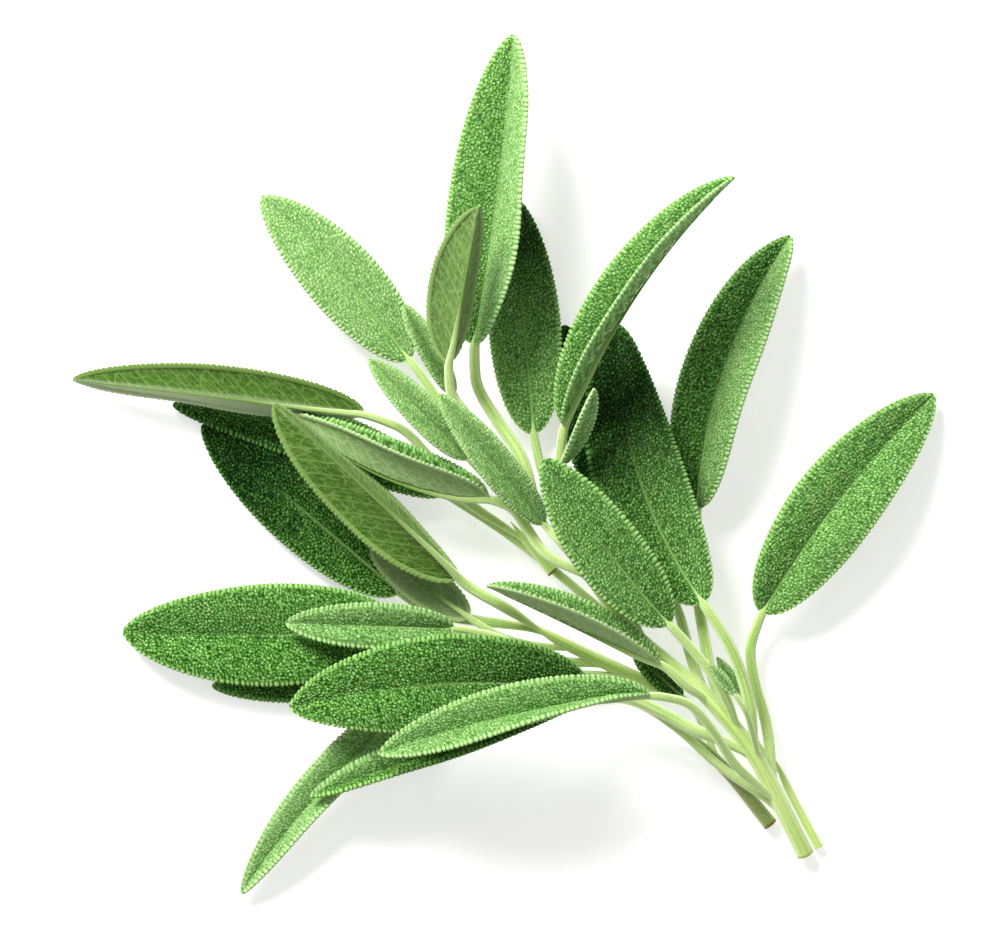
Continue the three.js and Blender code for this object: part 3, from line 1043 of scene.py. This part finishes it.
# %% Stalks and stems
def stalk_finish(name, body, shade, hair_and_sheen, rib=None):
    """A stalk. rib is the colour it takes on where it runs on as a midrib."""
    finish, tree, shader = new_finish(name)
    streak = place_group(tree, streaks, Turn=read_number(tree, "turn"), Count=3.5).outputs["Mask"]
    colour = mix_colour(tree, streak, body, shade)
    fluff_here = place_group(tree, down, Fineness=3000.0, Amount=0.3)
    colour = mix_colour(tree, fluff_here.outputs["Mask"], colour, hair_and_sheen)
    # Flanks and underside turn nearly white: a painted sheen of the hairs seen edge-on.
    flank_sheen = remap(tree, read_number(tree, "turn"), 0.6, 1.4, 0.0, 0.75)
    colour = mix_colour(tree, flank_sheen, colour, hair_and_sheen)
    if rib:
        along = remap(tree, read_number(tree, "share"), 0.02, 0.4)
        colour = mix_colour(tree, along, colour, rib)
    link(tree, colour, shader.inputs["Base Color"])
    add_bump(tree, shader, fluff_here.outputs["Height"], strength=0.5, distance=0.15 * MM)
    soft_coat(shader, roughness=0.6, sheen=0.35, tint=(0.95, 1.0, 0.85, 1))
    return finish


petiole_green = stalk_finish(
    "Petiole",
    body=linear(196, 222, 142),
    shade=linear(146, 186, 80),
    hair_and_sheen=linear(238, 247, 216),
    rib=linear(104, 138, 58),
)
stem_green = stalk_finish(
    "Stem", linear(200, 224, 134), linear(150, 190, 72), linear(236, 246, 208)
)
green_end = stalk_finish(
    "Fresh cut", linear(196, 222, 120), linear(174, 206, 92), linear(214, 234, 160)
)
brown_end = stalk_finish(
    "Dried cut", linear(126, 112, 54), linear(88, 76, 28), linear(150, 140, 86)
)
stem_olive = stalk_finish(
    "Woody stem", linear(134, 150, 84), linear(96, 116, 48), linear(190, 202, 150)
)
print("finishes:", [finish.name for finish in bpy.data.materials])

# %% [markdown]
# ## Making the leaves
# Every grown leaf has a look of its own, and the young ones share one. Making each by hand would
# repeat the same steps, so a table holds what differs and a loop makes them all. A leaf's first
# two numbers say how dark a green it is at its base and at its tip: 0 is light and 1 dark, and a
# number past either holds that end for longer. That dark is partly the leaf's own deeper green
# and partly painted shade, strongest where other leaves shade it. The last two say how pale its
# left and right halves are: partly thick down, and partly a painted sheen on a half that faces
# the light. Leaves low in the bunch are the deepest, much of it painted shade, and exposed halves
# the palest, with down and painted sheen.

# %% The look of each leaf
LOOKS = {
    "leaf_top_tall": (0.05, 0.05, 0.25, 1.0),
    "leaf_upper_left": (0.1, 0.05, 0.9, 0.9),
    "leaf_top_reversed": (0.1, 0.1, 0.3, 0.1),
    "leaf_centre_shaded": (-0.4, 1.4, 0.5, 0.5),
    "leaf_arched_right": (0.2, 0.0, 0.3, 0.9),
    "leaf_upper_right": (0.6, 0.45, 0.1, 1.3),
    "leaf_far_right": (0.0, -0.1, 0.25, 0.3),
    "leaf_large_dark": (-0.05, 1.5, 0.1, 0.3),
    "leaf_hidden_dark": (1.1, 1.1, 0.0, 0.0),
    "leaf_upright_small": (0.2, 0.0, 0.9, 0.9),
    "leaf_front_middle": (0.3, 0.4, 0.4, 0.3),
    "leaf_lower_edge": (0.3, 0.3, 0.5, 0.5),
    "leaf_long_left": (0.85, 0.8, 0.0, 1.1),
    "leaf_under_long": (0.5, 0.9, 0.0, 0.3),
    "leaf_shaded_left": (0.3, 1.3, 0.0, 0.0),
    "leaf_folded_left": (0.15, 0.1, 0.15, 0.0),
    "leaf_rolled": (0.2, 0.2, 0.3, 0.3),
    "leaf_small_reversed": (0.2, 0.2, 0.4, 0.4),
    "leaf_broad_left": (0.2, 0.1, 0.0, 0.1),
    "leaf_on_broad": (0.2, 0.1, 0.6, 0.6),
    "leaf_beneath_broad": (0.8, 0.3, 0.0, 0.0),
    "leaf_broad_front": (0.65, 0.05, 0.05, 0.05),
    "leaf_arched_front": (0.05, 0.0, 0.55, 0.5),
    "leaf_below_arch": (1.0, 0.1, 0.0, 0.7),
    "leaf_bottom_long": (0.3, -0.3, 0.9, 1.0),
    "leaf_at_fork": (0.9, 0.7, 0.1, 0.1),
}
USUAL_LOOK = (0.3, 0.2, 0.3, 0.3)
print("looks of their own:", len(LOOKS), "of", len(LEAVES))

# %% Make every leaf
TURNED_OVER = (
    "leaf_top_reversed",
    "leaf_long_left",
    "leaf_folded_left",
    "leaf_small_reversed",
    "leaf_rolled",
)
DOWNY_BENEATH = ("leaf_lower_edge", "leaf_upright_small", "leaf_rolled")
GREEN_BENEATH = ("leaf_arched_right",)
YOUNG_FINENESS = 0.62
for number, name in enumerate(LEAVES, start=1):
    is_young = name.startswith(("young", "bud"))
    upper_face = upper_young if is_young else upper_green
    under_face = under_pale if is_young or name in DOWNY_BENEATH else under_olive
    if name in GREEN_BENEATH:
        under_face = upper_green
    piece = make_leaf(
        name,
        (upper_face, under_face, petiole_green),
        LOOKS.get(name, USUAL_LOOK),
        seed=number,
        fineness=YOUNG_FINENESS if is_young else 1.0,
        turned_over=name in TURNED_OVER,
    )
    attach(piece, "root")
    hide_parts(name)

# %% [markdown]
# ## Making the stems
# A sage stem is square with rounded corners, so its tube's section is a softened square. A curve
# with a square bevel could draw it, but the mesh carries the numbers that the finish reads. It has
# many more rings than its solid. The cut face is flat, with a narrow band of its own finish behind
# it, and the growing end thins out between the last petioles, which mostly hide it.

# %% Make every stem
STEM_CORNERS = 28
TAPER_FROM = 0.6
TIP_TAPER = 0.85
CUT_BAND = 0.5 * MM
SQUARENESS = 0.05
FINISH_OF = {"stem_low": stem_olive}
BROWN_ENDS = ("stem_short", "stem_left", "stem_low")


def square_shape(angles):
    """A circle with four softly raised corners."""
    return (1 + SQUARENESS * np.cos(4 * angles))[None, :]


for name, stem in stems.items():
    drawn_out = 1 - TIP_TAPER * ease(TAPER_FROM, 1, np.linspace(0, 1, STEM_ROWS))
    body = tube(stem.route, stem.radii * drawn_out, STEM_CORNERS, square_shape)
    faces = tube_faces(STEM_ROWS, STEM_CORNERS, 0)
    mesh = bpy.data.meshes.new(name + "_fine")
    mesh.from_pydata(body.reshape(-1, 3).tolist(), [], faces)
    mesh.polygons.foreach_set("use_smooth", np.ones(len(faces), bool))
    add_numbers(mesh, "turn", np.tile(turn_from_top(STEM_CORNERS), STEM_ROWS))
    mesh.materials.append(FINISH_OF.get(name, stem_green))
    mesh.materials.append(brown_end if name in BROWN_ENDS else green_end)
    cut_face = mesh.polygons[len(faces) - 2]
    cut_face.material_index = 1
    cut_face.use_smooth = False
    for dried in mesh.polygons[: STEM_CORNERS * round(CUT_BAND / stem.step)]:
        dried.material_index = 1
    piece = new_piece(name, mesh)
    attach(piece, "root")
    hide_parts(name)
    print(name, "is", round(2 * stem.radii[0] / MM, 2), "mm across at its cut end")

# %% [markdown]
# ## Table, light and camera
# The bunch lies on a white table and is seen from straight above. Several lamps could light it,
# but each would add a shadow of its own. So one broad lamp at the upper left makes soft shadows to
# the right and below, and a bright room fills them. The room is whiter to look at than the light
# it gives, so the table runs into a white backdrop in the low views.

# %% Table
TABLE_SIZE = 4.0
TABLE_TOP = -0.3 * MM
TABLE_GREY = 0.7
TABLE_GLOW = 0.5
bpy.ops.mesh.primitive_plane_add(size=TABLE_SIZE, location=(0, 0, TABLE_TOP))
table = bpy.context.object
table.name = "table"
white, tree, shader = new_finish("Table")
shader.inputs["Base Color"].default_value = (TABLE_GREY, TABLE_GREY, TABLE_GREY, 1)
shader.inputs["Roughness"].default_value = 0.9
shader.inputs["Emission Color"].default_value = (1, 1, 1, 1)
shader.inputs["Emission Strength"].default_value = TABLE_GLOW
table.data.materials.append(white)
print("table", TABLE_SIZE, "m wide")

# %% Lamp
LAMP_PLACE = (-0.5, 0.8, 0.75)
LAMP_SIZE = 0.45
LAMP_WATTS = 24.0
WARM_WHITE = (1.0, 0.99, 0.96)
lamp = bpy.data.lights.new("key", "AREA")
lamp.size = LAMP_SIZE
lamp.energy = LAMP_WATTS
lamp.color = WARM_WHITE
key = bpy.data.objects.new("key", lamp)
key.location = LAMP_PLACE
key.rotation_euler = (middle - key.location).to_track_quat("-Z", "Y").to_euler()
bpy.context.scene.collection.objects.link(key)
print("lamp", round((key.location - middle).length, 2), "m away")

# %% Room
ROOM_LIGHT = 0.5
BACKDROP = 0.94
world = bpy.data.worlds.new("Bright room")
bpy.context.scene.world = world
world.use_nodes = True
room = world.node_tree
background = room.nodes["Background"]
background.inputs["Color"].default_value = (1, 1, 1, 1)
seen = room.nodes.new("ShaderNodeLightPath").outputs["Is Camera Ray"]
strength = remap(room, seen, 0.0, 1.0, ROOM_LIGHT, BACKDROP)
link(room, strength, background.inputs["Strength"])
bpy.context.scene.view_settings.view_transform = "Standard"
print("room gives", ROOM_LIGHT, "and looks", BACKDROP)

# %% Camera
CAMERA_HEIGHT = 1.3
VIEW_WIDTH = 0.200
SENSOR_WIDTH = 36
AIM_LEFT, AIM_FRONT = 0.8 * MM, 1.0 * MM
camera_data = bpy.data.cameras.new("camera")
camera_data.sensor_width = SENSOR_WIDTH
camera_data.lens = SENSOR_WIDTH * (CAMERA_HEIGHT - middle.z) / VIEW_WIDTH
camera = bpy.data.objects.new("camera", camera_data)
camera.location = (middle.x - AIM_LEFT, middle.y - AIM_FRONT, CAMERA_HEIGHT)
bpy.context.scene.collection.objects.link(camera)
bpy.context.scene.camera = camera
print("lens", round(camera_data.lens), "mm")
